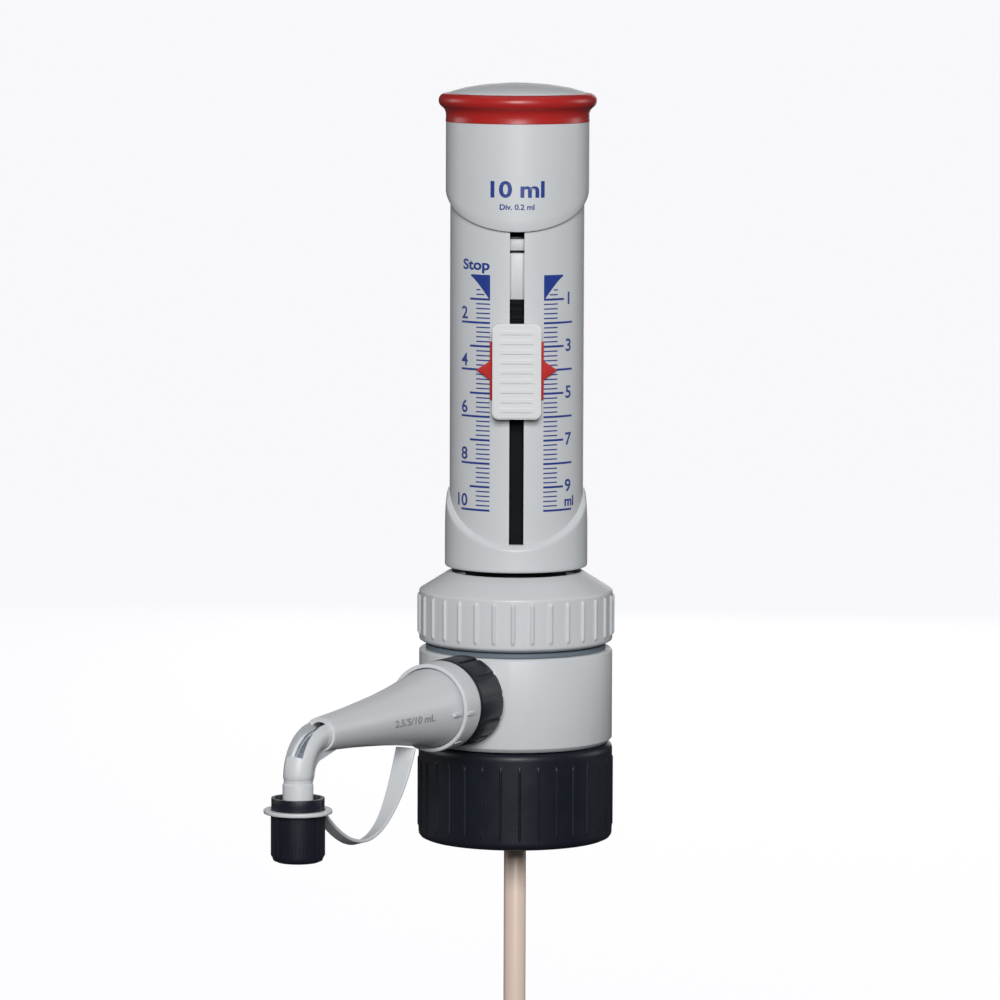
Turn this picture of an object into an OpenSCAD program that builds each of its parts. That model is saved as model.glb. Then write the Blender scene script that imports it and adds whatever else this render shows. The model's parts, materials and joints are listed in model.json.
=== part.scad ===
// Bottle-top dispenser: a piston pump that screws onto the threaded neck of a reagent bottle.
// Origin: centre of the plane where the bottle's rim meets the gasket. +Z is up, and the scale
// faces -Y. The jet leaves the valve block sideways and its spout points down.

/* [Bottle collar] */
// Outer diameter of the collar, between its ribs
collar_d = 52.6; // [52:0.1:54]
// Height of the collar
collar_h = 26.6; // [25:0.1:27]
// Depth of the rim's seat inside the collar
seat_depth = 22; // [21:0.5:23]
// Diameter inside the crests of the neck thread
crest_d = 42.6; // [42:0.1:43]
// Pitch of the neck thread
pitch = 4; // [3.5:0.25:4.25]
// Number of grip ribs on the collar and on the ring nut
rib_count = 32; // [16:4:48]

/* [Valve block] */
// Diameter of the valve block
block_d = 52.4; // [52:0.1:54]
// Height of the valve block
block_h = 25.3; // [25.2:0.1:26]
// Gap between the collar and the block that turns on it
swivel_gap = 0.4; // [0.3:0.1:0.6]

/* [Ring nut] */
// Height of the ring nut
ring_nut_h = 19.7; // [19:0.1:20]
// Groove between the block and the ring nut
nut_groove = 1.4; // [1.2:0.1:2.4]

/* [Barrel and piston] */
// Bore of the glass barrel
bore_d = 14.2; // [14:0.05:14.4]
// Full stroke of the piston
stroke = 63; // [50:1:63]
// Outer diameter of the jacket around the glass barrel
jacket_d = 27.3; // [27:0.1:27.5]
// Width of the air gap in running fits
running_gap = 0.08; // [0.03:0.01:0.1]

/* [Plunger shells] */
// Outer diameter of the sleeve that carries the scale
sleeve_d = 36.1; // [36:0.05:36.2]
// Outer diameter of the upper and lower shells
shell_d = 38.6; // [38.6:0.1:39]
// Height from the lower shell's underside to the upper shell's top
plunger_h = 120.6; // [120.5:0.1:122]
// Width of the slot that the slider runs in
slot_w = 3.9; // [3.8:0.05:4]

/* [Volume slider] */
// Travel of the slider for one millilitre
ml_pitch = 6.3; // [6.2:0.05:6.3]
// Volume that the slider is set to, in millilitres
set_ml = 4; // [0:0.2:10]
// Width of the button
button_w = 13; // [12.6:0.1:14]
// Height of the button
button_h = 25.5; // [25:0.1:26]

/* [Jet] */
// Angle from the front to the jet, towards -X
jet_angle = 29; // [0:1:90]
// Diameter of the nut that holds the jet
jet_nut_d = 23.8; // [23:0.1:23.8]
// Distance from the main axis to the spout's axis
spout_reach = 114.4; // [112:0.2:116]
// Radius of the delivery tube's bend
bend_r = 9.9; // [9:0.1:10]

/* [Intake tube] */
// Depth of the intake tube's end below the bottle's rim
intake_depth = 212; // [120:1:300]

/* [Hidden] */
$fn = 96;

light_grey = [0.80, 0.81, 0.82];
black = [0.10, 0.11, 0.14];
slate = [0.38, 0.42, 0.48];
white = [0.90, 0.91, 0.91];
red = [0.66, 0.12, 0.12];
beige = [0.89, 0.80, 0.74];
clear = [0.80, 0.85, 0.90, 0.4];
steel = [0.70, 0.71, 0.73];
ruby = [0.60, 0.05, 0.15];

// Levels, stacked up from the bottle's rim
collar_bottom = -seat_depth;
collar_top = collar_bottom + collar_h;
block_bottom = collar_top + swivel_gap;
block_top = block_bottom + block_h;
nut_bottom = block_top + nut_groove;
nut_top = nut_bottom + ring_nut_h;
shell_bottom = nut_top + 0.8;
shell_top = shell_bottom + plunger_h;
knob_h = 7.9;
knob_top = shell_top + knob_h;
jet_z = block_bottom + 14.4;

// Swivel between the collar and the block
lip_r = 17.5;
lip_z = collar_top - 1.5;
neck_r = 14.1;
gasket_h = 1.3;

// Barrel unit
barrel_seat = block_top + 1.6;
spigot_r = 21.6;
spigot_h = 12.1;
hub_r = 18.8;
hub_top = nut_top - 5.4;
jacket_r = jacket_d / 2;
jacket_top = nut_top + stroke + 11.4;
stop_r = 14.3;
stop_h = 12.4;
rod_r = 3.5;
piston_r = bore_d / 2 - running_gap;

// Plunger shells
sleeve_r = sleeve_d / 2;
sleeve_wall = 1.4;
shell_r = shell_d / 2;
shell_bore = sleeve_r + 0.05;
bevel = 0.9;
slot_bottom = shell_bottom + 8;
slot_top = slot_bottom + stroke + 27;
zero_z = shell_bottom + stroke + 17.1;

// Slider, relative to its own centre
slider_z = zero_z - set_ml * ml_pitch;
pointer_r0 = sleeve_r + 0.2;
pointer_r1 = pointer_r0 + 0.9;
button_back = pointer_r1 + 0.5;
button_front = button_back + 3;
button_cavity = button_front - 1.05;

// Jet, measured outwards from the main axis
spigot_end = 33;
nut_near = 27.4;
nut_far = 39.8;
ring_far = 47.6;
cover_end = 103.5;
tube_r = 1.6;
spout_step = jet_z - 11.5;
spout_tip = jet_z - 28.4;
cap_top = jet_z - 14.9;
cap_bottom = cap_top - 16.5;
strap_ring_z = cap_top - 3.5;

// ---- shared shapes ----

module turned(points) rotate_extrude() polygon(points);

module ring(r_out, r_in, z0, z1) turned([[r_in, z0], [r_out, z0], [r_out, z1], [r_in, z1]]);

module ribs(count, r_root, r_tip, width, z0, z1)
    for (i = [0 : count - 1])
        rotate(360 / count * i)
            translate([r_root, -width / 2, z0]) cube([r_tip - r_root, width, z1 - z0]);

// A block given by its lowest and highest corners
module block(low, high) translate(low) cube(high - low);

// Local Z runs outwards along the jet, local Y is up
module along_jet() translate([0, 0, jet_z]) rotate([90, 0, -jet_angle]) children();

// An outline drawn as (distance from the main axis, height), extruded to both sides of the jet's plane
module in_jet_plane(width)
    rotate(-jet_angle) rotate([0, 0, -90]) rotate([90, 0, 0]) translate([0, 0, -width / 2])
        linear_extrude(width) children();

module at_spout() rotate(-jet_angle) translate([0, -spout_reach, 0]) children();

function arc(cx, cy, r, a0, a1, n) =
    [for (i = [0 : n]) [cx + r * cos(a0 + (a1 - a0) * i / n), cy + r * sin(a0 + (a1 - a0) * i / n)]];

module rounded_rect(w, h, r) {
    square([w - 2 * r, h], center = true);
    square([w, h - 2 * r], center = true);
    for (x = [-1, 1], y = [-1, 1]) translate([x * (w / 2 - r), y * (h / 2 - r)]) circle(r, $fn = 32);
}

// ---- bottle collar: stays on the bottle ----

module bottle_collar() color(black) difference() {
    union() {
        turned(concat([[0, collar_bottom], [collar_d / 2 - 1.8, collar_bottom]],
                      arc(collar_d / 2 - 1.8, collar_bottom + 1.8, 1.8, -70, 0, 4),
                      arc(collar_d / 2 - 1.2, collar_top - 1.2, 1.2, 0, 90, 4),
                      [[0, collar_top]]));
        ribs(rib_count, collar_d / 2 - 1, collar_d / 2 + 0.45, 0.6, collar_bottom + 3.4, collar_top - 4);
    }
    translate([0, 0, collar_bottom - 1]) cylinder(d = crest_d, h = lip_z - collar_bottom + 1);
    translate([0, 0, lip_z - 1]) cylinder(r = lip_r, h = 4);
    // lead-in at the mouth
    turned([[0, collar_bottom - 1], [23, collar_bottom - 1], [23, collar_bottom],
            [crest_d / 2, collar_bottom + 1.5], [0, collar_bottom + 1.5]]);
    // the thread's turns, as closed grooves
    for (i = [0 : 3])
        translate([0, 0, collar_bottom + 4.5 + pitch * i])
            turned([[20, -1.3], [crest_d / 2, -1.3], [22.7, -0.6], [22.7, 0.6], [crest_d / 2, 1.3],
                    [20, 1.3]]);
}

module bottle_gasket() color(white) ring(crest_d / 2 - 0.1, 15, 0, gasket_h);

// ---- valve block: turns on the collar ----

module valve_block() color(light_grey) difference() {
    union() {
        turned([[0, block_bottom], [block_d / 2 - 1.1, block_bottom], [block_d / 2, block_bottom + 1.1],
                [block_d / 2, block_top - 0.5], [block_d / 2 - 0.5, block_top], [spigot_r, block_top],
                [spigot_r, block_top + spigot_h], [0, block_top + spigot_h]]);
        // neck that hangs through the collar's lip
        translate([0, 0, 0.3]) cylinder(r = neck_r, h = block_bottom - 0.3);
        translate([0, 0, lip_z - 0.2]) cylinder(r = lip_r - running_gap, h = block_bottom - lip_z + 0.2);
        // threaded outlet for the jet
        along_jet() translate([0, 0, 18]) cylinder(r = 9, h = spigot_end - 18);
    }
    // well for the barrel unit
    translate([0, 0, block_top]) cylinder(r = hub_r + 0.3, h = spigot_h + 1);
    // seat for the intake valve, the channel above it and the channel to the outlet
    translate([0, 0, -1]) cylinder(r = 8, h = 16);
    cylinder(r = 2.5, h = block_top + 1);
    along_jet() cylinder(r = 1.5, h = 11);
    along_jet() translate([0, 0, 10]) cylinder(r = 5, h = 30);
    // air way from the bottle to the back
    translate([0, 11, -1]) cylinder(r = 1.2, h = 11);
    translate([0, 11, 10]) rotate([-90, 0, 0]) cylinder(r = 1.2, h = 20);
    // turns of the ring nut's thread and the jet nut's thread
    for (i = [0 : 2]) translate([0, 0, block_top + 3 + 3 * i])
        turned([[spigot_r - 0.6, -0.3], [spigot_r + 1, -1.1], [spigot_r + 1, 1.1], [spigot_r - 0.6, 0.3]]);
    for (i = [0 : 1]) along_jet() translate([0, 0, spigot_end - 1.8 - 2 * i])
        turned([[8.5, -0.2], [10, -0.9], [10, 0.9], [8.5, 0.2]]);
}

module swivel_ring() color(white) ring(20.8, neck_r + 0.05, gasket_h + 0.1, lip_z - 0.2);

module nut_gasket() color(slate) ring(24.3, spigot_r + 0.05, block_top, nut_bottom - 0.1);

module barrel_seal() color(white) ring(9.2, 2.5, block_top, barrel_seat - 0.05);

// ---- intake side ----

module intake_valve_body() color(white) {
    turned([[1, -17], [1.95, -17], [1.95, -9], [6, -9], [6, 0.4], [7.95, 0.4], [7.95, 14.9], [1.5, 14.9],
            [1.5, 7.2], [2.7, 7.2], [2.7, 3.7], [1, 2]]);
    // hexagon for the spanner
    difference() {
        translate([0, 0, -6]) cylinder(r = 7.4, h = 6, $fn = 6);
        translate([0, 0, -7]) cylinder(r = 5.5, h = 8);
    }
}

module intake_ball() color(ruby) translate([0, 0, 3.86]) sphere(2);

module intake_tube() color(beige) difference() {
    translate([0, 0, -intake_depth]) cylinder(r = 3, h = intake_depth - 9.05);
    translate([0, 0, -intake_depth - 1]) cylinder(r = 2, h = intake_depth);
    // slanted end, so that the bottle's floor can't close it
    translate([3, -4, -intake_depth]) rotate([0, -35, 0]) translate([-12, 0, -8]) cube([12, 8, 8]);
}

// ---- discharge side, inside the block's outlet ----

module discharge_valve_body() color(white) along_jet()
    turned([[1, 10.1], [4.95, 10.1], [4.95, 30], [tube_r + 0.08, 30], [tube_r + 0.08, 21.2],
            [2.7, 21.2], [2.7, 13.6], [1, 12]]);

module discharge_ball() color(ruby) along_jet() translate([0, 0, 13.86]) sphere(2);

// Helical compression spring, swept along its own turns
coil_r = 2.1;
wire_r = 0.25;
coil_turns = 5;
coil_steps = 16;
coil_sides = 8;
coil_near = 15.55;
coil_far = 20.85;
function coil_point(i, j) =
    let (turn = 360 * i / coil_steps, around = 360 * j / coil_sides, r = coil_r + wire_r * cos(around))
    [r * cos(turn), r * sin(turn),
     coil_near + (coil_far - coil_near) * i / (coil_turns * coil_steps) + wire_r * sin(around)];
module discharge_spring() color(steel) along_jet() {
    rings = coil_turns * coil_steps;
    polyhedron(
        points = [for (i = [0 : rings], j = [0 : coil_sides - 1]) coil_point(i, j)],
        faces = concat(
            [for (i = [0 : rings - 1], j = [0 : coil_sides - 1])
                let (a = i * coil_sides + j, b = i * coil_sides + (j + 1) % coil_sides)
                [a, b, b + coil_sides, a + coil_sides]],
            [[for (j = [coil_sides - 1 : -1 : 0]) j]],
            [[for (j = [0 : coil_sides - 1]) rings * coil_sides + j]]));
}

// ---- barrel unit: held on the block by the ring nut ----

module glass_barrel() color(clear)
    turned([[bore_d / 2, barrel_seat], [11.2, barrel_seat], [11.2, barrel_seat + 3], [9.2, barrel_seat + 3],
            [9.2, jacket_top - 1.2], [bore_d / 2, jacket_top - 1.2]]);

module barrel_jacket() color(black) difference() {
    turned([[11.35, barrel_seat + 0.1], [hub_r, barrel_seat + 0.1], [hub_r, hub_top], [jacket_r, hub_top],
            [jacket_r, jacket_top], [12.9, jacket_top], [12.9, jacket_top + 7.8],
            [11.35, jacket_top + 7.8], [11.35, hub_top - 2], [9.35, hub_top - 2],
            [9.35, barrel_seat + 3.1], [11.35, barrel_seat + 3.1]]);
    // turns of the calibration thread below the stop collar
    for (i = [0 : 6]) translate([0, 0, jacket_top - 1.6 - 2 * i])
        turned([[jacket_r - 0.35, -0.2], [jacket_r + 1, -0.9], [jacket_r + 1, 0.9], [jacket_r - 0.35, 0.2]]);
}

module stop_collar() color(white) translate([0, 0, jacket_top + 0.05])
    turned([[13, 0], [stop_r, 0], [stop_r, stop_h], [8.9, stop_h], [8.9, stop_h + 4],
            [rod_r + running_gap, stop_h + 4], [rod_r + running_gap, 8], [13, 8]]);

module collar_lock_ring() color(white)
    ring(stop_r, 9, jacket_top + stop_h + 0.75, jacket_top + stop_h + 3.85);

module ring_nut() color(light_grey) difference() {
    union() {
        turned([[0, nut_bottom], [23.1, nut_bottom], [26.2, nut_bottom + 1.1], [26.2, nut_bottom + 14],
                [25.9, nut_bottom + 14.5], [17.9, nut_top], [0, nut_top]]);
        ribs(rib_count, 25, 26.65, 1.2, nut_bottom + 2.7, nut_bottom + 13.2);
    }
    translate([0, 0, nut_bottom - 1]) cylinder(r = spigot_r + running_gap, h = hub_top - nut_bottom + 1.1);
    cylinder(r = jacket_r + running_gap, h = nut_top + 1);
}

// ---- plunger: lifts off the barrel unit ----

// Everything below (side = -1) or above (side = 1) a curve that dips at the middle of the front and
// back and rises by rise at the sides
module scoop(z0, rise, side) {
    half = shell_r + 0.1;
    curve = [for (t = [-90 : 7.5 : 90]) [half * sin(t), z0 + rise * (1 - cos(t))]];
    rotate([90, 0, 0]) translate([0, 0, -40]) linear_extrude(80)
        polygon(concat(curve, [[half + 5, z0 + rise], [half + 5, z0 + side * 40],
                               [-half - 5, z0 + side * 40], [-half - 5, z0 + rise]]));
}

module shell_edge(z0, rise, side) {
    scoop(z0, rise, side);
    // bevel along the edge
    intersection() {
        ring(shell_r + 1, shell_r - 0.55, shell_bottom - 1, shell_top + 1);
        scoop(z0 - side * bevel, rise, side);
    }
}

module lower_shell() color(light_grey) difference() {
    turned([[jacket_r + running_gap, shell_bottom], [shell_r - 1.3, shell_bottom],
            [shell_r, shell_bottom + 1.3], [shell_r, shell_bottom + 17.8],
            [shell_r - 0.7, shell_bottom + 21], [shell_bore, shell_bottom + 21],
            [shell_bore, shell_bottom + 1.5], [jacket_r + running_gap, shell_bottom + 1.5]]);
    shell_edge(shell_bottom + 6.4, 14.2, 1);
}

module scale_sleeve() color(light_grey) difference() {
    ring(sleeve_r, sleeve_r - sleeve_wall, shell_bottom + 1.55, shell_top - 3.05);
    block([-slot_w / 2, -shell_r, slot_bottom], [slot_w / 2, -10, slot_top]);
}

// One tooth for each division of 0.2 ml
module detent_rack() color(white) {
    tooth = ml_pitch / 5;
    teeth = 53;
    z0 = zero_z - 10 * ml_pitch - 1.5 * tooth;
    root = 5.3;
    outline = [for (i = [0 : teeth - 1], p = [[root, 0.15], [root - 0.6, 0.5], [root, 0.85]])
        [p[0], z0 + tooth * (i + p[1])]];
    rotate([90, 0, 0]) translate([0, 0, 14.5]) linear_extrude(0.7)
        polygon(concat([[6.5, z0]], [[root, z0]], outline, [[root, z0 + tooth * teeth]],
                       [[6.5, z0 + tooth * teeth]]));
}

module upper_shell() color(light_grey) difference() {
    union() {
        ring(shell_r, shell_bore, shell_bottom + 92, shell_top);
        ring(shell_r - 0.5, rod_r + 0.05, shell_top - 3, shell_top);
    }
    shell_edge(shell_bottom + 91.9, 10.5, -1);
}

module knob_ring() color(red) translate([0, 0, shell_top])
    turned(concat([[15, 0], [19.3, 0], [19.45, 1], [19.6, 2.4], [20.3, 4.2]],
                  arc(20, 6.3, 1.3, -40, 90, 6),
                  [[18.6, knob_h], [18.6, knob_h - 1.8], [15, knob_h - 1.8]]));

module top_disc() color(light_grey) translate([0, 0, knob_top - 1.75])
    turned([[0, 0], [18.5, 0], [18.5, 1.4], [17.6, 2.1], [14, 3.4], [9, 4.4], [4, 4.9], [0, 5]]);

module plunger_rod() color(white) turned([[0, barrel_seat + 6.5], [2.4, barrel_seat + 6.5],
    [2.4, barrel_seat + 12.6], [rod_r, barrel_seat + 12.6], [rod_r, shell_top + 5.3], [0, shell_top + 5.3]]);

module piston() color(white) difference() {
    turned([[0, barrel_seat + 0.5], [piston_r, barrel_seat + 0.5], [piston_r, barrel_seat + 2.5],
            [5.5, barrel_seat + 2.5], [5.5, barrel_seat + 5.5], [piston_r, barrel_seat + 5.5],
            [piston_r, barrel_seat + 12.5], [0, barrel_seat + 12.5]]);
    translate([0, 0, barrel_seat + 6.4]) cylinder(r = 2.45, h = 10);
}

module piston_seal() color(beige) ring(bore_d / 2 - 0.03, 5.55, barrel_seat + 2.55, barrel_seat + 5.45);

module hex_nut(z0, z1) difference() {
    translate([0, 0, z0]) cylinder(r = 7.5, h = z1 - z0, $fn = 6);
    translate([0, 0, z0 - 1]) cylinder(r = rod_r + 0.05, h = z1 - z0 + 2);
}

module calibration_nut() color(steel) hex_nut(shell_top + 0.05, shell_top + 3);

module calibration_locknut() color(steel) hex_nut(shell_top + 3.1, shell_top + 5.1);

// ---- volume slider: runs up and down the plunger's slot ----

module slider_carriage() color(white) translate([0, 0, slider_z]) {
    head_back = pointer_r1 + 0.2;
    // neck in the slot, plate behind it, head in front of the pointer plate
    block([-slot_w / 2 + 0.2, -head_back - 0.05, -6], [slot_w / 2 - 0.2, -15.5, 6]);
    block([-4.2, -15.85, -10.1], [4.2, -15.2, 6.5]);
    block([-4.6, -head_back - 0.65, -8.3], [4.6, -head_back, 8.3]);
    // stop lug and detent nib
    block([-2.5, -15.3, -10.1], [2.5, -14.65, -7.1]);
    block([4.1, -15.8, -0.4], [4.5, -15.25, 0.4]);
}

module pointer_plate() color(red) translate([0, 0, slider_z]) intersection() {
    half_w = button_w / 2 + 0.7;
    tip = 10.8;
    ring(pointer_r1, pointer_r0, -10, 10);
    rotate([90, 0, 0]) linear_extrude(30) difference() {
        polygon([[-half_w, -7.75], [half_w, -7.75], [half_w, -2.5], [tip, 0], [half_w, 2.5],
                 [half_w, 7.75], [-half_w, 7.75], [-half_w, 2.5], [-tip, 0], [-half_w, -2.5]]);
        square([slot_w, 12.4], center = true);
    }
}

module slider_button() color(white) translate([0, 0, slider_z]) difference() {
    union() {
        rotate([90, 0, 0]) translate([0, 0, button_back])
            linear_extrude(2.4) rounded_rect(button_w, button_h, 1.9);
        rotate([90, 0, 0]) translate([0, 0, button_back + 2.3])
            linear_extrude(0.4) rounded_rect(button_w - 0.7, button_h - 0.7, 1.6);
        // grip ribs
        for (i = [-4 : 4])
            block([-4.35, -button_front, 2.6 * i - 0.45], [4.35, -button_back - 2, 2.6 * i + 0.45]);
    }
    block([-5.2, -button_cavity, -9], [5.2, -15, 9]);
    // ends raised over the edges of the shells
    for (side = [-1, 1])
        translate([0, 0, side * 14.7]) block([-10, -button_back - 1.25, -5], [10, -15, 5]);
}

// Bowed leaf between the carriage's head and the button
module slider_spring() color(steel) translate([0, 0, slider_z]) {
    bow_r = 17.2;
    half = 22;
    centre = bow_r * cos(half) - pointer_r1 - 1.08;
    rotate([90, 0, 90]) translate([0, 0, -1.25]) linear_extrude(2.5)
        polygon(concat(arc(centre, 0, bow_r, 180 - half, 180 + half, 12),
                       arc(centre, 0, bow_r - 0.2, 180 + half, 180 - half, 12)));
}

// ---- jet: pulls off the block when its nut is undone ----

module jet_ring() color(light_grey) along_jet() {
    // tail in the nut, floor and cup
    turned([[tube_r + 0.08, spigot_end + 0.4], [8.85, spigot_end + 0.4], [8.85, nut_far - 3.1],
            [7.9, nut_far - 3.1], [7.9, nut_far + 0.2], [11.6, nut_far + 0.2], [11.85, nut_far + 0.5],
            [11.75, ring_far - 0.3], [11.5, ring_far], [10.85, ring_far], [10.65, ring_far - 0.3],
            [10.65, 44], [tube_r + 0.08, 44]]);
    // index marks
    rotate(-4) block([11.4, -0.35, 43.5], [12.2, 0.35, ring_far - 0.4]);
    rotate(-49) block([11.4, -0.3, 44], [12, 0.3, ring_far - 1]);
}

// Outer radius of the cover's cone at each distance from the main axis
cover_profile = [[44.1, 10.5], [48, 10.35], [52, 9.75], [57, 8.96], [64.5, 7.8], [72, 6.88], [80, 6.1],
                 [88, 5.4], [97, 4.8], [cover_end, 4.45]];
cover_wall = 1.25;
gutter_r = 3.9;
gutter_bore = tube_r + 0.2;
bend_start = spout_reach - bend_r;
// Angle above the spout at which the gutter closes into a full ring
ring_angle = 25;

// Cross-section of the gutter, open at +x, the outside of the bend. A step makes all of it smaller.
module gutter_profile(open, step) difference() {
    circle(gutter_r - step, $fn = 48);
    circle(gutter_bore - step, $fn = 48);
    if (open) translate([0.6 - step, step - 2.5]) square([5, 5 - 2 * step]);
}

// A profile swept round the bend from the spout's end (0) towards the jet's end (90)
module bend_sweep(from, to)
    rotate(-jet_angle) translate([0, -bend_start, jet_z - bend_r]) rotate([90, 0, -90])
        rotate_extrude(angle = to - from, start = from) translate([bend_r, 0]) children();

module jet_cover() color(light_grey) {
    along_jet() turned(concat([for (p = cover_profile) [p[1], p[0]]],
                              [for (i = [len(cover_profile) - 1 : -1 : 0])
                                  [cover_profile[i][1] - cover_wall, cover_profile[i][0]]]));
    // raised key beside the ring's mark
    along_jet() rotate(-4) block([9.4, -0.35, 48.2], [10.75, 0.35, 51.6]);
    // gutter, its bend, and the full ring that ends it
    along_jet() translate([0, 0, cover_end - 2]) linear_extrude(bend_start - cover_end + 2.4)
        rotate(90) gutter_profile(true, 0);
    bend_sweep(ring_angle, 90) gutter_profile(true, 0.08);
    bend_sweep(0, ring_angle) gutter_profile(false, 0.08);
    at_spout() turned([[gutter_bore, spout_tip], [3.5, spout_tip], [3.95, spout_tip + 1], [3.95, spout_step],
                       [3.65, spout_step + 0.4], [3.65, jet_z - bend_r], [gutter_bore, jet_z - bend_r]]);
    // fin under the bend
    in_jet_plane(2.6) polygon(concat(
        [[cover_end - 6, jet_z - 3.6]], arc(bend_start, jet_z - bend_r, bend_r - 3, 90, 0, 8),
        [[spout_reach - 3, spout_step - 0.9], [spout_reach - 4.6, spout_step - 0.9],
         [spout_reach - 5.2, spout_step - 0.3]],
        arc(bend_start - 0.2, jet_z - bend_r - 0.3, 4, 0, 90, 6), [[cover_end - 6, jet_z - 4.65]]));
}

module delivery_tube() color(clear) {
    bore_r = 0.9;
    lap = 0.4;
    squeeze = 0.05;
    along_jet() ring(tube_r, bore_r, 23, bend_start + lap);
    bend_sweep(0, 90) difference() {
        circle(tube_r - squeeze, $fn = 48);
        circle(bore_r - squeeze, $fn = 48);
    }
    at_spout() ring(tube_r, bore_r, spout_tip + 1, jet_z - bend_r + lap);
}

// Cubic curve through the strap's hanging shape: (distance from the main axis, height)
strap_points = [[59.4, jet_z - 9], [60.5, cap_bottom - 1], [84, cap_bottom - 9], [105.2, strap_ring_z + 0.2]];
strap_t = 0.9;
function strap_at(t) = pow(1 - t, 3) * strap_points[0] + 3 * t * pow(1 - t, 2) * strap_points[1]
    + 3 * t * t * (1 - t) * strap_points[2] + pow(t, 3) * strap_points[3];
function strap_side(t, s) =
    let (d = strap_at(t + 0.01) - strap_at(t - 0.01), n = [-d[1], d[0]] / norm(d))
    strap_at(t) + n * s;
module strap_band() color(light_grey) in_jet_plane(4.3)
    polygon(concat([for (i = [0 : 20]) strap_side(i / 20, strap_t / 2)],
                   [for (i = [20 : -1 : 0]) strap_side(i / 20, -strap_t / 2)]));

module jet_nut() color(black) along_jet() difference() {
    turned([[0, nut_near], [jet_nut_d / 2 - 0.7, nut_near], [jet_nut_d / 2, nut_near + 0.7],
            [jet_nut_d / 2, nut_far - 0.7], [jet_nut_d / 2 - 0.7, nut_far], [0, nut_far]]);
    translate([0, 0, nut_near - 1]) cylinder(r = 9 + running_gap, h = nut_far - nut_near - 1.9);
    translate([0, 0, nut_far - 4]) cylinder(r = 7.9 + running_gap, h = 5);
    // grip grooves
    for (i = [0 : 11]) rotate(30 * i + 10)
        block([jet_nut_d / 2 - 0.45, -0.5, nut_near - 1], [jet_nut_d / 2 + 1, 0.5, nut_far - 1.4]);
}

module closure_cap() color(black) at_spout() difference() {
    union() {
        turned([[0, cap_bottom], [5.4, cap_bottom], [6.3, cap_bottom + 0.4], [6.65, cap_bottom + 1.3],
                [6.85, cap_top], [0, cap_top]]);
        ribs(24, 6, 6.95, 0.5, cap_bottom + 1.6, strap_ring_z - 1);
    }
    translate([0, 0, spout_tip - 1]) cylinder(r = 4.1, h = 30);
    translate([0, 0, cap_top - 3]) cylinder(r = 5.9, h = 10);
}

module strap_ring() color(light_grey) at_spout() ring(8.8, 6.95, strap_ring_z - 0.5, strap_ring_z + 0.5);

bottle_collar();
bottle_gasket();
valve_block();
swivel_ring();
nut_gasket();
barrel_seal();
intake_valve_body();
intake_ball();
intake_tube();
discharge_valve_body();
discharge_ball();
discharge_spring();
glass_barrel();
barrel_jacket();
stop_collar();
collar_lock_ring();
ring_nut();
lower_shell();
scale_sleeve();
detent_rack();
upper_shell();
knob_ring();
top_disc();
plunger_rod();
piston();
piston_seal();
calibration_nut();
calibration_locknut();
slider_carriage();
pointer_plate();
slider_button();
slider_spring();
jet_ring();
jet_cover();
delivery_tube();
strap_band();
jet_nut();
closure_cap();
strap_ring();
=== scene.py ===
"""Bottle-top dispenser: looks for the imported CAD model.

The scene is in metres, in the frame of the CAD: the origin is the plane where the bottle's rim meets the
gasket, +Z is up and the scale faces -Y. The pieces modelled here are laid out in millimetres.
"""
import json
import math

import bpy
from mathutils import Matrix, Vector


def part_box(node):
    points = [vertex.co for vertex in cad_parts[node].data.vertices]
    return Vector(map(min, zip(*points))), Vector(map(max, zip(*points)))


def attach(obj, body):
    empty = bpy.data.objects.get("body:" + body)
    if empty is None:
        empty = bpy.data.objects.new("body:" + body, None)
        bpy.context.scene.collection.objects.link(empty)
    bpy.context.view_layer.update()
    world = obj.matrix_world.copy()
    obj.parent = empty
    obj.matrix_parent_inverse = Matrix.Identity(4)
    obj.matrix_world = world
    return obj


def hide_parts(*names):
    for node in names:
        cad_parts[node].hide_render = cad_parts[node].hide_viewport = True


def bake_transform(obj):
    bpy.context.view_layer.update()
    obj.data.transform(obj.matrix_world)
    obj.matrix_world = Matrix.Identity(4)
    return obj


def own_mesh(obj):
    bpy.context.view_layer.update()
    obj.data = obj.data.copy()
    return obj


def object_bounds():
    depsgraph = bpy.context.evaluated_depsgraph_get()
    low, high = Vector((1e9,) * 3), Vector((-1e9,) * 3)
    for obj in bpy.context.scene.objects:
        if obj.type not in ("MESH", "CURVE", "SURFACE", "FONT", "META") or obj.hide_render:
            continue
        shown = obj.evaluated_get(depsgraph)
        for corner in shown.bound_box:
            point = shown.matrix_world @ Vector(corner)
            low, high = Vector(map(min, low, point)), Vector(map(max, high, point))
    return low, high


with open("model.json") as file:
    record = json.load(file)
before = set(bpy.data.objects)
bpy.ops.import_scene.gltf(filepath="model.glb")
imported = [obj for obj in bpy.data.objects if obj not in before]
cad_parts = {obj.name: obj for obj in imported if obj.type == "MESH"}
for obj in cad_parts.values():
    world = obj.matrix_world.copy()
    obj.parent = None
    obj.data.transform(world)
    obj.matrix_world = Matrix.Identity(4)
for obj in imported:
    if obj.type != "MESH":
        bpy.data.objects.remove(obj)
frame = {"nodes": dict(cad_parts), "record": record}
cad_low, cad_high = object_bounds()
nodes = frame["nodes"]
MM = 0.001


def place(name, data):
    """Puts new data into the scene as an object."""
    thing = bpy.data.objects.new(name, data)
    bpy.context.scene.collection.objects.link(thing)
    return thing


# ---- camera: at the photograph's angle, some way off with a long lens ----

CAMERA_DISTANCE = 1.628
CAMERA_HEIGHT = 0.2437
CAMERA_PITCH = 6.075
CAMERA_YAW = 0.155
CAMERA_ROLL = 0.2
CAMERA_LENS = 217.8
SENSOR_WIDTH = 36


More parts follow.
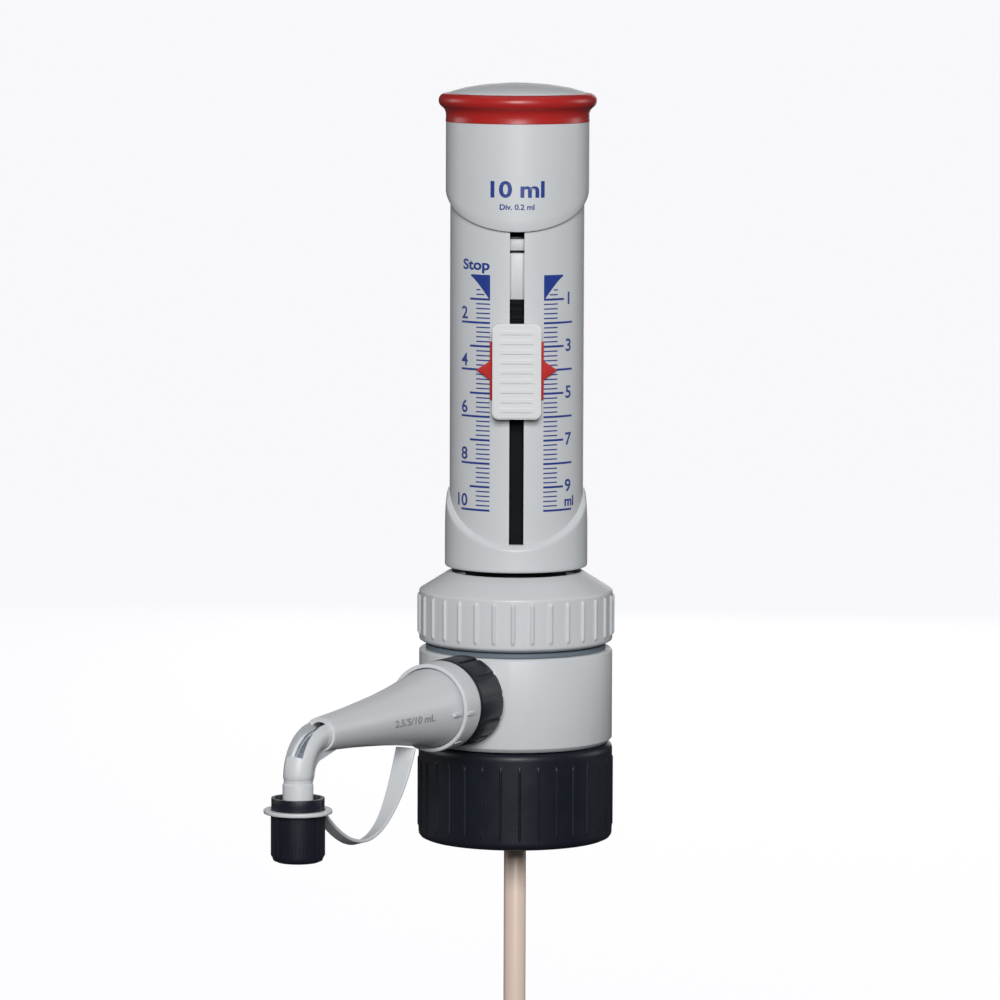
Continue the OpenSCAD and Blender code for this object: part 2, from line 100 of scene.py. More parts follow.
def make_camera():
    data = bpy.data.cameras.new("camera")
    data.lens = CAMERA_LENS
    data.sensor_width = SENSOR_WIDTH
    data.clip_end = 100
    camera = place("camera", data)
    turn = Matrix.Rotation(math.radians(CAMERA_YAW), 4, "Z")
    tilt = Matrix.Rotation(math.radians(90 - CAMERA_PITCH), 4, "X")
    roll = Matrix.Rotation(math.radians(CAMERA_ROLL), 4, "Z")
    camera.matrix_world = Matrix.Translation((0, -CAMERA_DISTANCE, CAMERA_HEIGHT)) @ turn @ tilt @ roll
    bpy.context.scene.camera = camera


# ---- floor and light ----

FLOOR_GAP = 0.004
FLOOR_HALF_WIDTH = 6.0
FLOOR_FRONT = -6.0
FLOOR_BACK = 2.6
BACKDROP_BEND = 1.2
BACKDROP_TOP = 4.0
BACKDROP_STEPS = 12
STAGE_SHADE = 0.05
STAGE_TINT = (0.97, 0.97, 1)
STAGE_GLOW = 0.96
WORLD_TINT = (0.93, 0.95, 1)
WORLD_GLOW = 0.06


def make_stage():
    """A pale floor under the intake tube, with a backdrop that curves up behind it."""
    floor_z = cad_low[2] - FLOOR_GAP
    outline = [(FLOOR_FRONT, floor_z), (FLOOR_BACK, floor_z)]
    for i in range(1, BACKDROP_STEPS + 1):
        a = math.radians(90 * i / BACKDROP_STEPS)
        rise = BACKDROP_BEND * (1 - math.cos(a))
        outline.append((FLOOR_BACK + BACKDROP_BEND * math.sin(a), floor_z + rise))
    outline.append((FLOOR_BACK + BACKDROP_BEND, floor_z + BACKDROP_TOP))
    count = len(outline)
    verts = [(x, y, z) for x in (-FLOOR_HALF_WIDTH, FLOOR_HALF_WIDTH) for y, z in outline]
    mesh = bpy.data.meshes.new("stage")
    mesh.from_pydata(verts, [], [(i, i + count, i + count + 1, i + 1) for i in range(count - 1)])
    for polygon in mesh.polygons:
        polygon.use_smooth = True
    stage = place("stage", mesh)
    material = bpy.data.materials.new("stage")
    material.use_nodes = True
    shader = material.node_tree.nodes["Principled BSDF"]
    shader.inputs["Base Color"].default_value = (STAGE_SHADE, STAGE_SHADE, STAGE_SHADE, 1)
    shader.inputs["Roughness"].default_value = 0.9
    shader.inputs["Emission Color"].default_value = (*STAGE_TINT, 1)
    shader.inputs["Emission Strength"].default_value = STAGE_GLOW
    mesh.materials.append(material)
    stage.visible_diffuse = False
    stage.visible_glossy = False


def make_area_light(name, location, target, size, power, shine=1.0):
    """A rectangular light that faces its target. Its shine is the strength of its highlights."""
    data = bpy.data.lights.new(name, "AREA")
    data.shape = "RECTANGLE"
    data.size, data.size_y = size
    data.energy = power
    data.specular_factor = shine
    light = place(name, data)
    light.location = location
    light.rotation_euler = (Vector(target) - Vector(location)).to_track_quat("-Z", "Y").to_euler()
    light.visible_camera = False


def make_lights():
    middle = (0, 0, 0.05)
    make_area_light("key", (0.04, -1.95, 0.82), (0, 0, 0.08), (0.7, 0.8), power=40)
    make_area_light("top", (0.0, 0.25, 1.4), middle, (1.2, 1.0), power=2)
    make_area_light("rear", (0.2, 2.0, 0.25), middle, (0.8, 0.8), power=4, shine=0.1)
    for side in (-1, 1):
        make_area_light("side", (side * 1.8, 0.5, 0.5), middle, (0.8, 0.8), power=6)
    world = bpy.data.worlds.new("studio")
    world.use_nodes = True
    background = world.node_tree.nodes["Background"]
    background.inputs["Color"].default_value = (*WORLD_TINT, 1)
    background.inputs["Strength"].default_value = WORLD_GLOW
    bpy.context.scene.world = world
    bpy.context.scene.view_settings.view_transform = "Standard"


# ---- materials ----

class Graph:
    """A material's node tree, with short calls for the nodes used here."""

    def __init__(self, name, colour, roughness, **shader_values):
        self.material = bpy.data.materials.new(name)
        self.material.use_nodes = True
        self.tree = self.material.node_tree
        self.shader = self.tree.nodes["Principled BSDF"]
        self.shader.inputs["Base Color"].default_value = (*colour, 1)
        self.shader.inputs["Roughness"].default_value = roughness
        for key, value in shader_values.items():
            self.shader.inputs[key.replace("_", " ")].default_value = value
        self.position = self.tree.nodes.new("ShaderNodeTexCoord").outputs["Object"]

    def add(self, kind, **values):
        node = self.tree.nodes.new("ShaderNode" + kind)
        for key, value in values.items():
            setattr(node, key, value)
        return node

    def link(self, source, target):
        self.tree.links.new(source, target)

    def noise(self, scale, detail, stretch=None):
        """Noise with features of about one metre over the scale, drawn out where the stretch is below 1."""
        node = self.add("TexNoise")
        node.inputs["Scale"].default_value = scale
        node.inputs["Detail"].default_value = detail
        if stretch:
            mapping = self.add("Mapping")
            mapping.inputs["Scale"].default_value = stretch
            self.link(self.position, mapping.inputs["Vector"])
            self.link(mapping.outputs["Vector"], node.inputs["Vector"])
        else:
            self.link(self.position, node.inputs["Vector"])
        return node.outputs["Fac"]

    def spread(self, noise, low, high):
        """The middle of a noise's range, spread out from low to high."""
        node = self.add("MapRange")
        node.inputs["From Min"].default_value = 0.3
        node.inputs["From Max"].default_value = 0.7
        node.inputs["To Min"].default_value = low
        node.inputs["To Max"].default_value = high
        self.link(noise, node.inputs["Value"])
        return node.outputs["Result"]

    def mix(self, factor, a, b):
        node = self.add("Mix", data_type="RGBA")
        node.inputs["A"].default_value = (*a, 1)
        node.inputs["B"].default_value = (*b, 1)
        self.link(factor, node.inputs["Factor"])
        return node.outputs["Result"]

    def bump(self, height, strength, distance):
        node = self.add("Bump")
        node.inputs["Strength"].default_value = strength
        node.inputs["Distance"].default_value = distance
        self.link(height, node.inputs["Height"])
        self.link(node.outputs["Normal"], self.shader.inputs["Normal"])


def moulded_plastic(name, colour, roughness, shift=0.03, grain=2600, grain_depth=0.00002, **shader_values):
    """Injection-moulded plastic: a slow drift of tone, a spark-eroded grain and uneven polish."""
    g = Graph(name, colour, roughness, **shader_values)
    lighter = tuple(min(1, c * (1 + shift)) for c in colour)
    darker = tuple(c * (1 - shift) for c in colour)
    tone = g.mix(g.noise(scale=28, detail=4), darker, lighter)
    g.link(tone, g.shader.inputs["Base Color"])
    polish = g.spread(g.noise(scale=160, detail=5), roughness - 0.05, roughness + 0.06)
    g.link(polish, g.shader.inputs["Roughness"])
    g.bump(g.noise(scale=grain, detail=2), strength=0.35, distance=grain_depth)
    return g.material


def clear_plastic(name, tint, roughness, ior):
    """Clear plastic or glass, with faint waves along Z."""
    g = Graph(name, tint, roughness, IOR=ior, Transmission_Weight=1.0)
    haze = g.spread(g.noise(scale=420, detail=3), roughness, roughness + 0.06)
    g.link(haze, g.shader.inputs["Roughness"])
    g.bump(g.noise(scale=300, detail=2, stretch=(1, 1, 0.2)), strength=0.2, distance=0.00002)
    return g.material


def steel():
    """Drawn spring wire."""
    g = Graph("steel", (0.62, 0.62, 0.6), 0.28, Metallic=1.0)
    polish = g.spread(g.noise(scale=900, detail=3, stretch=(1, 1, 0.1)), 0.2, 0.4)
    g.link(polish, g.shader.inputs["Roughness"])
    g.bump(g.noise(scale=1500, detail=2), strength=0.2, distance=0.00001)
    return g.material


def make_materials():
    """The record's material slots first, then the finishes that only some pieces have."""
    return {
        "grey_plastic": moulded_plastic("grey_plastic", (0.62, 0.64, 0.66), 0.42),
        "white_plastic": moulded_plastic("white_plastic", (0.69, 0.7, 0.71), 0.42),
        "black_plastic": moulded_plastic("black_plastic", (0.008, 0.0105, 0.018), 0.42, shift=0.12,
                                         grain=1500, grain_depth=0.00006, Specular_IOR_Level=0.32),
        "red_plastic": moulded_plastic("red_plastic", (0.42, 0.018, 0.016), 0.34, shift=0.08),
        "slate_rubber": moulded_plastic("slate_rubber", (0.13, 0.165, 0.2), 0.6, shift=0.06, grain=1800),
        "beige_tube": moulded_plastic("beige_tube", (0.78, 0.62, 0.52), 0.35, shift=0.04),
        "fluoropolymer": moulded_plastic("fluoropolymer", (0.8, 0.8, 0.78), 0.45,
                                         Subsurface_Weight=0.1, Subsurface_Scale=0.002),
        "clear_tube": clear_plastic("clear_tube", (0.93, 0.96, 1.0), 0.08, ior=1.35),
        "glass": clear_plastic("glass", (0.97, 0.99, 0.98), 0.02, ior=1.47),
        "ruby": clear_plastic("ruby", (0.6, 0.03, 0.08), 0.03, ior=1.6),
        "spring_steel": steel(),
        "pointer_red": moulded_plastic("pointer_red", (0.56, 0.035, 0.03), 0.4, shift=0.06),
        # A black darker than black_plastic: painted shade on the parts that lie in the slot's shade
        "painted_shade_black": moulded_plastic("painted_shade_black", (0.003, 0.0035, 0.006), 0.6, shift=0.15,
                                      Specular_IOR_Level=0.12),
        # A white darker than white_plastic: painted shade on the collar that lies in the slot's shade
        "painted_shade_white": moulded_plastic("painted_shade_white", (0.62, 0.64, 0.65), 0.5),
        "ink": moulded_plastic("blue_ink", (0.018, 0.045, 0.26), 0.4, shift=0.1),
        # A darker grey than the jet's cone: painted shade of its low raised figures
        "relief_shade_grey": moulded_plastic("relief_shade_grey", (0.3, 0.31, 0.31), 0.5),
    }


# ---- the CAD nodes that stay ----

# Nodes with a finish of their own: the brighter red pointer, and a black and a white darkened with painted
# shade for what lies in the slot's shade
SPECIAL_FINISHES = {
    "pointer_plate": "pointer_red",
    "barrel_jacket": "painted_shade_black",
    "plunger_rod": "painted_shade_black",
    "stop_collar": "painted_shade_white",
    "collar_lock_ring": "painted_shade_white",
}

# Width of the rounding in millimetres, and its number of segments
ROUNDED_EDGES = {
    "slider_button": (0.6, 3),
    "valve_block": (0.25, 2),
    "jet_cover": (0.18, 2),
    "jet_ring": (0.2, 2),
    "jet_nut": (0.25, 2),
    "closure_cap": (0.2, 2),
    "pointer_plate": (0.12, 2),
    "stop_collar": (0.15, 2),
    "collar_lock_ring": (0.15, 2),
    "strap_ring": (0.2, 2),
    "intake_tube": (0.2, 2),
}
WELD_DISTANCE = 0.002
ROUNDED_ABOVE = math.radians(32)


def finish_cad_nodes(materials):
    """Every CAD node takes the material of its slot in the record, or its own finish."""
    for part in frame["record"]["subparts"]:
        name = part["node"]
        node = nodes[name]
        material = materials[SPECIAL_FINISHES.get(name, part["material_slot"])]
        if not node.material_slots:
            node.data.materials.append(material)
        for slot in node.material_slots:
            slot.material = material


def round_cad_edges():
    for name, (width, segments) in ROUNDED_EDGES.items():
        node = nodes[name]
        weld = node.modifiers.new("weld", "WELD")
        weld.merge_threshold = WELD_DISTANCE * MM
        bevel = node.modifiers.new("bevel", "BEVEL")
        bevel.width = width * MM
        bevel.segments = segments
        bevel.limit_method = "ANGLE"
        bevel.angle_limit = ROUNDED_ABOVE
        bevel.harden_normals = True


# ---- shared shapes, in millimetres ----

SHARP = math.radians(38)


def levels(node):
    """The lowest and the highest level of a CAD node."""
    low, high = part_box(node)
    return round(low[2] / MM, 2), round(high[2] / MM, 2)


def outer_radius(node):
    """The radius of a CAD node that is turned about the main axis."""
    return round(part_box(node)[1][0] / MM, 2)


def make_object(name, verts, faces, material):
    """A mesh given in millimetres, shaded smooth except at its sharp edges."""
    mesh = bpy.data.meshes.new(name)
    mesh.from_pydata([tuple(c * MM for c in v) for v in verts], [], faces)
    mesh.materials.append(material)
    for polygon in mesh.polygons:
        polygon.use_smooth = True
    mesh.set_sharp_from_angle(angle=SHARP)
    return place(name, mesh)


def make_piece(name, verts, faces, material, body, replaced=None):
    """An object that rides on a body, and may take the place of a CAD node."""
    piece = make_object(name, verts, faces, material)
    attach(piece, body)
    if replaced:
        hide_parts(replaced)


def spin(angles, profile):
    """Vertices and faces of a closed outline spun about Z. profile(angle) gives its (radius, height) points,
    and an angle of 0 is the front."""
    verts = []
    for a in angles:
        verts += [(r * math.sin(a), -r * math.cos(a), z) for r, z in profile(a)]
    rings = len(angles)
    count = len(verts) // rings
    faces = []
    for ring in range(rings):
        after = (ring + 1) % rings
        for j in range(count):
            k = (j + 1) % count
            faces.append((ring * count + j, after * count + j, after * count + k, ring * count + k))
    return verts, faces


def even_angles(count):
    return [2 * math.pi * i / count for i in range(count)]


def rib_angles(count, radius, offsets, first, between):
    """Angles for a ribbed wall: at the given offsets from each rib's centre, and even between ribs."""
    step = 2 * math.pi / count
    angles = []
    for i in range(count):
        centre = first + i * step
        near = [centre + offset / radius for offset in offsets]
        gap = step - (near[-1] - near[0])
        angles += near + [near[-1] + gap * (j + 1) / (between + 1) for j in range(between)]
    return angles


def smooth(x):
    """A soft step from 0 at 0 to 1 at 1."""
    x = min(1, max(0, x))
    return x * x * (3 - 2 * x)


def rib_height(angle, z, count, first, radius, width, low, high, height):
    """How far a rib with rounded ends stands out at a point of the wall."""
    step = 2 * math.pi / count
    off = (angle - first + step / 2) % step - step / 2
    along = max(0, low + width / 2 - z, z - high + width / 2)
    return height * smooth((width / 2 - math.hypot(off * radius, along)) / (width * 0.42))


def steps(low, high, count):
    return [low + (high - low) * i / count for i in range(count + 1)]


# ---- the turned pieces, from the collar up ----

RIBS = 32
SLEEVE_RADIUS = outer_radius("scale_sleeve")
SHELL_RADIUS = outer_radius("upper_shell")
SHELL_BORE = SLEEVE_RADIUS + 0.05
SHELL_ANGLES = even_angles(240)
RING_ANGLES = even_angles(180)


def make_collar(materials):
    """The collar: fine ribs outside, and a helical thread inside."""
    bottom, top = levels("bottle_collar")
    bottom += 0.5
    first, radius = math.radians(2.6), 26.3
    offsets = (-0.75, -0.45, -0.38, -0.26, -0.13, 0, 0.13, 0.26, 0.38, 0.45, 0.75)
    pitch, crest, depth, run_out = 4.0, 21.3, 1.35, 2.0
    thread_low, thread_high = bottom + 1.0, -2.0

    def thread(a, z):
        turn = ((z - pitch * a / (2 * math.pi)) / pitch) % 1
        fade = smooth((z - thread_low) / run_out) * smooth((thread_high - z) / run_out)
        return crest + depth * smooth((0.5 - abs(turn - 0.5)) * 2.6) * fade

    def rib(a, z):
        return rib_height(a, z, RIBS, first, radius, width=0.8, low=bottom + 2.9, high=top - 3.8, height=0.3)

    def profile(a):
        wall = [(radius + rib(a, z), z) for z in steps(bottom + 1.8, top - 1.4, 40)]
        bore = [(thread(a, z), z) for z in steps(-0.05, thread_low, 54)]
        foot = [(23.0, bottom), (24.8, bottom), (25.7, bottom + 0.4), (26.2, bottom + 1.1)]
        lid = [(26.05, top - 0.6), (25.6, top - 0.15), (25.1, top), (17.5, top), (17.5, top - 1.5),
               (crest, top - 1.5)]
        return foot + wall + lid + bore

    verts, faces = spin(rib_angles(RIBS, radius, offsets, first, between=3), profile)
    make_piece("collar_ribbed", verts, faces, materials["black_plastic"], "collar",
               "bottle_collar")


def make_groove_ring(materials):
    """The ring in the groove between the block and the ring nut."""
    low, high = levels("nut_gasket")
    low, high = low + 0.05, high - 0.05
    profile = [(21.7, low), (24.1, low), (24.35, low + 0.15), (24.35, high - 0.1), (24.2, high), (21.7, high)]
    verts, faces = spin(RING_ANGLES, lambda a: profile)
    make_piece("groove_ring", verts, faces, materials["slate_rubber"], "valve_body",
               "nut_gasket")


def make_ring_nut(materials):
    """The ring nut: ribs with rounded ends on its skirt, under a conical shoulder."""
    bottom, top = levels("ring_nut")
    first, radius, bore, hole = math.radians(-1.6), 26.2, 21.75, 13.8
    offsets = (-0.8, -0.62, -0.44, -0.26, 0, 0.26, 0.44, 0.62, 0.8)
    shoulder = bottom + 14.3
    heights = [bottom + 1.5] + steps(bottom + 1.9, shoulder, 34)

    def rib(a, z):
        return rib_height(a, z, RIBS, first, radius, width=1.5, low=bottom + 2.3, high=shoulder - 0.6,
                          height=0.54)

    def profile(a):
        foot = [(bore, bottom), (23.1, bottom), (23.6, bottom + 0.1), (25.6, bottom + 0.8),
                (26.05, bottom + 1.1)]
        wall = [(radius + rib(a, z), z) for z in heights]
        cone = [(26.1, shoulder + 0.25), (25.8, shoulder + 0.5), (18.4, top - 0.25), (18.0, top - 0.05),
                (17.7, top - 0.05), (17.4, top - 0.3), (17.2, top - 1.2)]
        inside = [(hole, top - 1.4), (hole, shoulder + 0.1), (bore, shoulder + 0.1)]
        return foot + wall + cone + inside

    verts, faces = spin(rib_angles(RIBS, radius, offsets, first, between=4), profile)
    make_piece("ring_nut_ribbed", verts, faces, materials["grey_plastic"], "ring_nut",
               "ring_nut")


def scoop_height(angle, lowest, rise):
    """The edge of a shell's scoop: lowest at the front and the back, and highest at the sides."""
    return lowest + rise * (1 - abs(math.cos(angle)))


def make_lower_shell(materials):
    """The lower shell: a shallow cup with two horns that thin out towards their tips."""
    bottom = levels("lower_shell")[0] + 0.45
    hole, wall_low, floor_top = 13.75, bottom + 0.75, bottom + 1.75
    thin_from, thinning = bottom + 17.85, 0.6

    def profile(a):
        edge = scoop_height(a, bottom + 7.45, 14.0)
        tip = SHELL_RADIUS - thinning * smooth((edge - thin_from) / 3.5)
        foot = [(hole, bottom), (18.5, bottom), (18.95, bottom + 0.1), (19.2, bottom + 0.35),
                (SHELL_RADIUS, wall_low)]
        wall = [(SHELL_RADIUS + (tip - SHELL_RADIUS) * t ** 6, wall_low + (edge - 1.3 - wall_low) * t)
                for t in steps(0.1, 1, 9)]
        rim = [(tip - 0.12, edge - 1.05), (SHELL_BORE + 0.28, edge - 0.18), (SHELL_BORE + 0.14, edge - 0.04),
               (SHELL_BORE, edge)]
        return foot + wall + rim + [(SHELL_BORE, floor_top), (hole, floor_top)]

    verts, faces = spin(SHELL_ANGLES, profile)
    make_piece("lower_shell_scooped", verts, faces, materials["grey_plastic"], "plunger",
               "lower_shell")


def make_upper_shell(materials):
    """The upper shell: a cap whose lower edge hangs lowest at the front and the back."""
    bottom, top = levels("upper_shell")
    bottom -= 0.05
    hole, wall_top, ceiling = 3.6, top - 0.1, top - 3.0

    def profile(a):
        edge = scoop_height(a, bottom, 10.4)
        shoulder = [(18.65, top), (SHELL_RADIUS - 0.1, top), (SHELL_RADIUS, wall_top)]
        wall = [(SHELL_RADIUS, wall_top - (wall_top - edge - 0.3) * t) for t in steps(0.1, 1, 9)]
        rim = [(SHELL_RADIUS - 0.09, edge + 0.08), (SHELL_RADIUS - 0.3, edge), (SHELL_BORE, edge)]
        inside = [(SHELL_BORE, ceiling), (hole, ceiling), (hole, top - 0.05), (18.6, top - 0.05)]
        return shoulder + wall + rim + inside

    verts, faces = spin(SHELL_ANGLES, profile)
    outward = [tuple(reversed(f)) for f in faces]
    make_piece("upper_shell_scooped", verts, outward, materials["grey_plastic"], "plunger",
               "upper_shell")


def make_knob_ring(materials):
    """The red grip: a waist under a round lip."""
    bottom, top = levels("knob_ring")
    bore, seat, lip_centre, lip = 15, 18.6, 19.3, 2.0
    lip_z = top - 2.25
    crown = lip_z + lip
    arc = [math.radians(d) for d in range(-52, 91, 12)]
    profile = ([(bore, bottom), (19.25, bottom), (19.4, bottom + 0.15), (19.3, bottom + 1.2),
                (19.35, bottom + 2.4), (19.7, bottom + 3.3), (20.2, bottom + 3.8)]
               + [(lip_centre + lip * math.cos(a), lip_z + lip * math.sin(a)) for a in arc]
               + [(seat + 0.05, crown), (seat, crown - 0.05), (seat, crown - 1.55), (bore, crown - 1.55)])
    verts, faces = spin(SHELL_ANGLES, lambda a: profile)
    make_piece("knob_lip", verts, faces, materials["red_plastic"], "plunger", "knob_ring")


def make_top_disc(materials):
    """The domed disc in the red ring."""
    base = levels("top_disc")[0]
    radius = outer_radius("top_disc")
    middle = 0.01
    profile = [(middle, base), (radius, base), (radius, base + 1.4), (18.3, base + 1.55),
               (17.6, base + 1.95), (14, base + 2.95), (9, base + 3.75), (4, base + 4.15),
               (middle, base + 4.25)]
    verts, faces = spin(RING_ANGLES, lambda a: profile)
    make_piece("domed_disc", verts, faces, materials["grey_plastic"], "plunger", "top_disc")


# ---- printing: thin pieces that lie on the curved walls ----

PRINT_LIFT = 0.05
# Level of the scale's zero, and the height of one millilitre
ZERO_Z = 132.3
ML = 6.3
DIVISIONS_PER_ML = 5
FIRST_DIVISION = 3
LAST_DIVISION = 50
# The scale's lines run from the slot's side outwards, to one of three lengths
LINE_START = 7.38
FIFTH_END = 11.65
ML_END = 13.8
TWO_ML_END = 17.2
THICK_LINE = 0.28
THIN_LINE = 0.17
WEDGE_WIDTH = 6.1
WEDGE_BORDER = 0.25
# Height of capitals in a font of size 1
CAPITAL = 0.72


def on_wall(radius, arc, z):
    """The point of a wall at a distance along its curve from the front, and a height."""
    a = arc / radius
    r = radius + PRINT_LIFT
    return (r * math.sin(a), -r * math.cos(a), z)


def add_patch(verts, faces, corners, columns=10):
    """A patch on the sleeve. corners(t) gives (arc, lower z, upper z) for t from 0 to 1."""
    start = len(verts)
    for t in steps(0, 1, columns):
        arc, low, high = corners(t)
        verts += [on_wall(SLEEVE_RADIUS, arc, low), on_wall(SLEEVE_RADIUS, arc, high)]
    for i in range(columns):
        j = start + 2 * i
        faces.append((j, j + 2, j + 3, j + 1))


def add_line(verts, faces, side, begin, end, z, half):
    """One line of the scale, on the side of the slot that -1 or 1 says."""
    add_patch(verts, faces, lambda t: (side * (begin + (end - begin) * t), z - half, z + half))


def make_scale(materials):
    """Divisions of 0.2 ml on both sides of the slot, and the two wedges that close it at the top."""
    for side, name in ((-1, "scale_left"), (1, "scale_right")):
        verts, faces = [], []
        for division in range(FIRST_DIVISION, LAST_DIVISION + 1):
            z = ZERO_Z - ML * division / DIVISIONS_PER_ML
            begin, end, half = LINE_START, FIFTH_END, THIN_LINE
            if division < DIVISIONS_PER_ML:
                # clear of the wedge's curved edge
                begin += WEDGE_WIDTH * (1 - division / DIVISIONS_PER_ML) ** 0.8
            if division % DIVISIONS_PER_ML == 0:
                half = THICK_LINE
                end = ML_END if division % (2 * DIVISIONS_PER_ML) else TWO_ML_END
            add_line(verts, faces, side, begin, end, z, half)

        def wedge(t):
            low = ZERO_Z - ML * (1 - t) ** 1.3 - WEDGE_BORDER
            return side * (LINE_START + WEDGE_WIDTH * t), low, ZERO_Z + WEDGE_BORDER

        add_patch(verts, faces, wedge, columns=16)
        if side < 0:
            faces = [tuple(reversed(f)) for f in faces]
        make_piece(name, verts, faces, materials["ink"], "plunger")


def text_outline(text, height, bold, align):
    """A flat text as (vertices, faces), with capitals of the given height and its baseline on the x axis."""
    curve = bpy.data.curves.new("text", "FONT")
    curve.body = text
    curve.size = height / CAPITAL
    curve.align_x = align
    curve.offset = (0.04 if bold else 0.026) * height
    curve.resolution_u = 4
    temporary = place("text", curve)
    bpy.context.view_layer.update()
    mesh = bpy.data.meshes.new_from_object(temporary.evaluated_get(bpy.context.evaluated_depsgraph_get()))
    verts = [tuple(v.co) for v in mesh.vertices]
    faces = [tuple(p.vertices) for p in mesh.polygons]
    bpy.data.objects.remove(temporary)
    bpy.data.curves.remove(curve)
    bpy.data.meshes.remove(mesh)
    return verts, faces


def make_labels(materials):
    """The scale's numbers, the word at its closed end, and the volume on the upper shell. Each label is its
    text, the wall's radius, its place along the wall and its level, its height, its widening and its
    alignment."""
    labels = [("Stop", SLEEVE_RADIUS, -12.05, 133.9, 2.75, 1.3, "CENTER"),
              ("ml", SLEEVE_RADIUS, 16.3, 70.3, 2.7, 1.1, "CENTER"),
              ("10 ml", SHELL_RADIUS, -0.45, 153.5, 4.3, 1.2, "CENTER"),
              ("Div. 0.2 ml", SHELL_RADIUS, -0.1, 150.15, 1.45, 1.08, "CENTER")]
    for number in range(1, 11):
        z = ZERO_Z - ML * number
        if number % 2:
            labels.append((str(number), SLEEVE_RADIUS, 15.66, z - 1.4, 3.35, 1.12, "CENTER"))
        else:
            labels.append((str(number), SLEEVE_RADIUS, -14.6, z + 0.95, 3.35, 1.12, "RIGHT"))
    verts, faces = [], []
    for text, radius, arc, z, height, widen, align in labels:
        flat, flat_faces = text_outline(text, height, bold=not text.isdigit(), align=align)
        faces += [tuple(i + len(verts) for i in f) for f in flat_faces]
        verts += [on_wall(radius, arc + x * widen, z + y) for x, y, _ in flat]
    make_piece("labels", verts, faces, materials["ink"], "plunger")


# ---- the jet: its raised figures and its strap ----

JET_ANGLE = math.radians(29)
JET_Z = 19.4
JET_OUT = Vector((-math.sin(JET_ANGLE), -math.cos(JET_ANGLE), 0))
JET_SIDE = Vector((math.cos(JET_ANGLE), -math.sin(JET_ANGLE), 0))
# (distance from the main axis, outer radius) along the jet's cone
CONE = [(48, 10.35), (52, 9.75), (57, 8.96), (64.5, 7.8), (72, 6.88), (80, 6.1), (88, 5.4), (97, 4.8),
        (103.5, 4.45)]
JET_LABEL_OUT = 67.5
JET_LABEL_TURN = math.radians(-3)
JET_LABEL_HEIGHT = 1.9
JET_LABEL_LIFT = 0.06
# The strap's path as a cubic curve of (distance from the main axis, height) points, from jet to cap
STRAP_PATH = [(59.4, 10.3), (68, -11), (83.5, -21), (105.6, 1.0)]
STRAP_STEPS = 96
STRAP_THICKNESS = 0.9
STRAP_ROOT_WIDTH = 5.8
STRAP_END_WIDTH = 3.6
STRAP_TWIST = math.radians(16)
# The strap's cross-section, in half widths and half thicknesses
STRAP_SECTION = ((-1, -0.5), (-0.9, -1), (0.9, -1), (1, -0.5), (1, 0.5), (0.9, 1), (-0.9, 1), (-1, 0.5))


def in_jet_plane(out, z):
    """A point in the upright plane through the jet: distance from the main axis, and height."""
    return JET_OUT * out + Vector((0, 0, z))


def cone_radius(out):
    for (near, near_radius), (far, far_radius) in zip(CONE, CONE[1:]):
        if out <= far:
            return near_radius + (far_radius - near_radius) * (out - near) / (far - near)
    return CONE[-1][1]


def make_jet_label(materials):
    """The volumes that the jet suits, in low raised figures along the cone, darker grey with painted shade of
    their relief.
    """
    flat, faces = text_outline("2.5/5/10 mL", JET_LABEL_HEIGHT, bold=True, align="CENTER")
    verts = []
    for x, y, _ in flat:
        out = JET_LABEL_OUT - x * 1.35
        r = cone_radius(out) + JET_LABEL_LIFT
        a = JET_LABEL_TURN + (y - JET_LABEL_HEIGHT / 2) / r
        verts.append(tuple(in_jet_plane(out, JET_Z + r * math.sin(a)) + JET_SIDE * (r * math.cos(a))))
    make_piece("jet_label", verts, faces, materials["relief_shade_grey"], "jet")


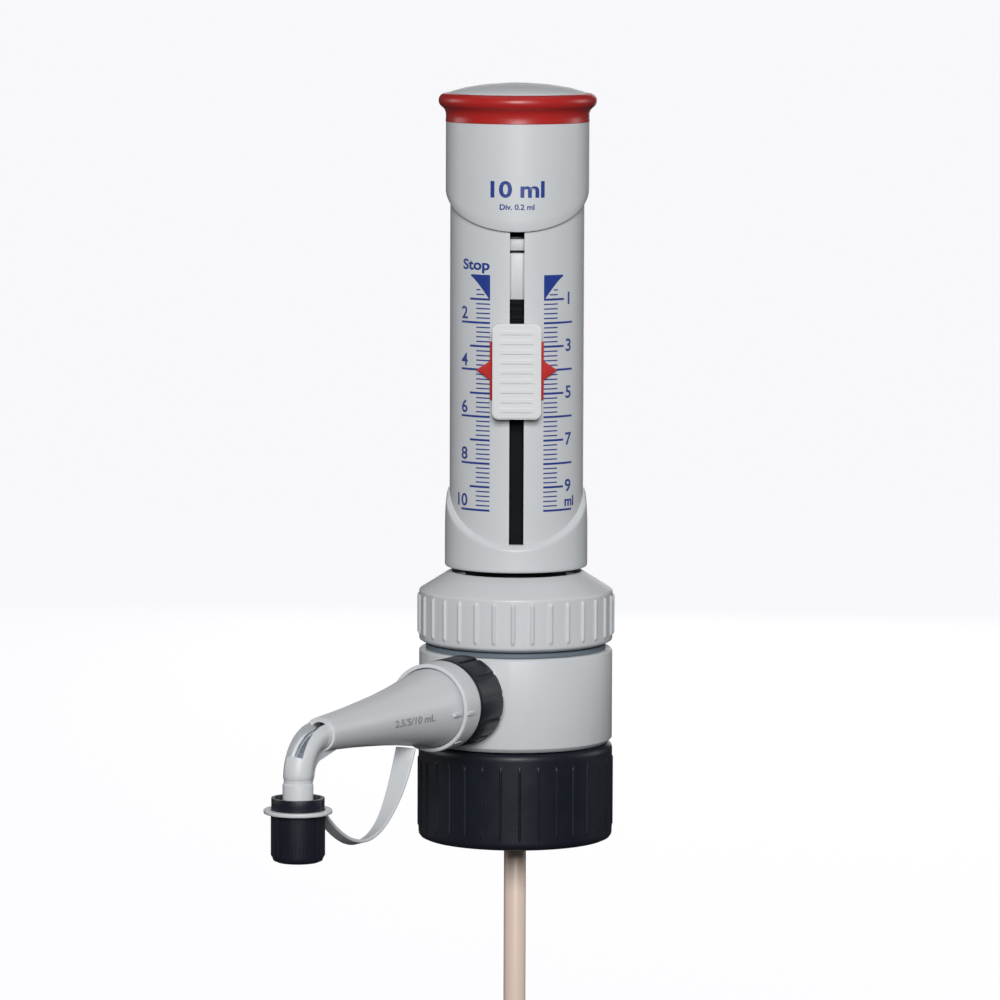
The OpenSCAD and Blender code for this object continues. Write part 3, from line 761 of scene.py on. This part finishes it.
def cubic(points, t):
    """The point at t, from 0 to 1, of a cubic curve with four control points."""
    s = 1 - t
    weights = (s ** 3, 3 * t * s * s, 3 * t * t * s, t ** 3)
    return sum((w * Vector(p) for w, p in zip(weights, points)), Vector((0, 0)))


def make_strap(materials):
    """The strap that keeps the cap: broad at its root, narrow at the cap, and twisted on the way."""
    corners = len(STRAP_SECTION)
    verts = []
    for t in steps(0, 1, STRAP_STEPS):
        ahead = cubic(STRAP_PATH, min(1, t + 0.01)) - cubic(STRAP_PATH, max(0, t - 0.01))
        tangent = in_jet_plane(*ahead).normalized()
        flat = tangent.cross(JET_SIDE)
        twist = STRAP_TWIST * smooth(t / 0.6) * smooth((1 - t) / 0.4)
        across = JET_SIDE * math.cos(twist) + flat * math.sin(twist)
        through = tangent.cross(across)
        width = STRAP_ROOT_WIDTH + (STRAP_END_WIDTH - STRAP_ROOT_WIDTH) * smooth(t / 0.55)
        middle = in_jet_plane(*cubic(STRAP_PATH, t))
        for a, b in STRAP_SECTION:
            verts.append(tuple(middle + across * (a * width / 2) + through * (b * STRAP_THICKNESS / 2)))
    last = STRAP_STEPS * corners
    faces = [tuple(range(corners - 1, -1, -1)), tuple(range(last, last + corners))]
    for i in range(0, last, corners):
        for j in range(corners):
            k = (j + 1) % corners
            faces.append((i + j, i + k, i + corners + k, i + corners + j))
    strap = make_object("strap", verts, faces, materials["grey_plastic"])
    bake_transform(strap)
    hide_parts("strap_band")


# ---- springs ----


def make_spring(name, node, body, materials):
    """A copy of a CAD spring that rides on a body."""
    mesh = nodes[node].data.copy()
    mesh.materials.clear()
    mesh.materials.append(materials["spring_steel"])
    piece = place(name, mesh)
    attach(piece, body)
    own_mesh(piece)
    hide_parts(node)


def make_springs(materials):
    make_spring("valve_spring", "discharge_spring", "valve_body",
                materials)
    make_spring("button_spring", "slider_spring", "button", materials)


make_camera()
make_stage()
make_lights()
materials = make_materials()
finish_cad_nodes(materials)
round_cad_edges()
make_ring_nut(materials)
make_collar(materials)
make_lower_shell(materials)
make_upper_shell(materials)
make_knob_ring(materials)
make_top_disc(materials)
make_groove_ring(materials)
make_scale(materials)
make_labels(materials)
make_jet_label(materials)
make_strap(materials)
make_springs(materials)
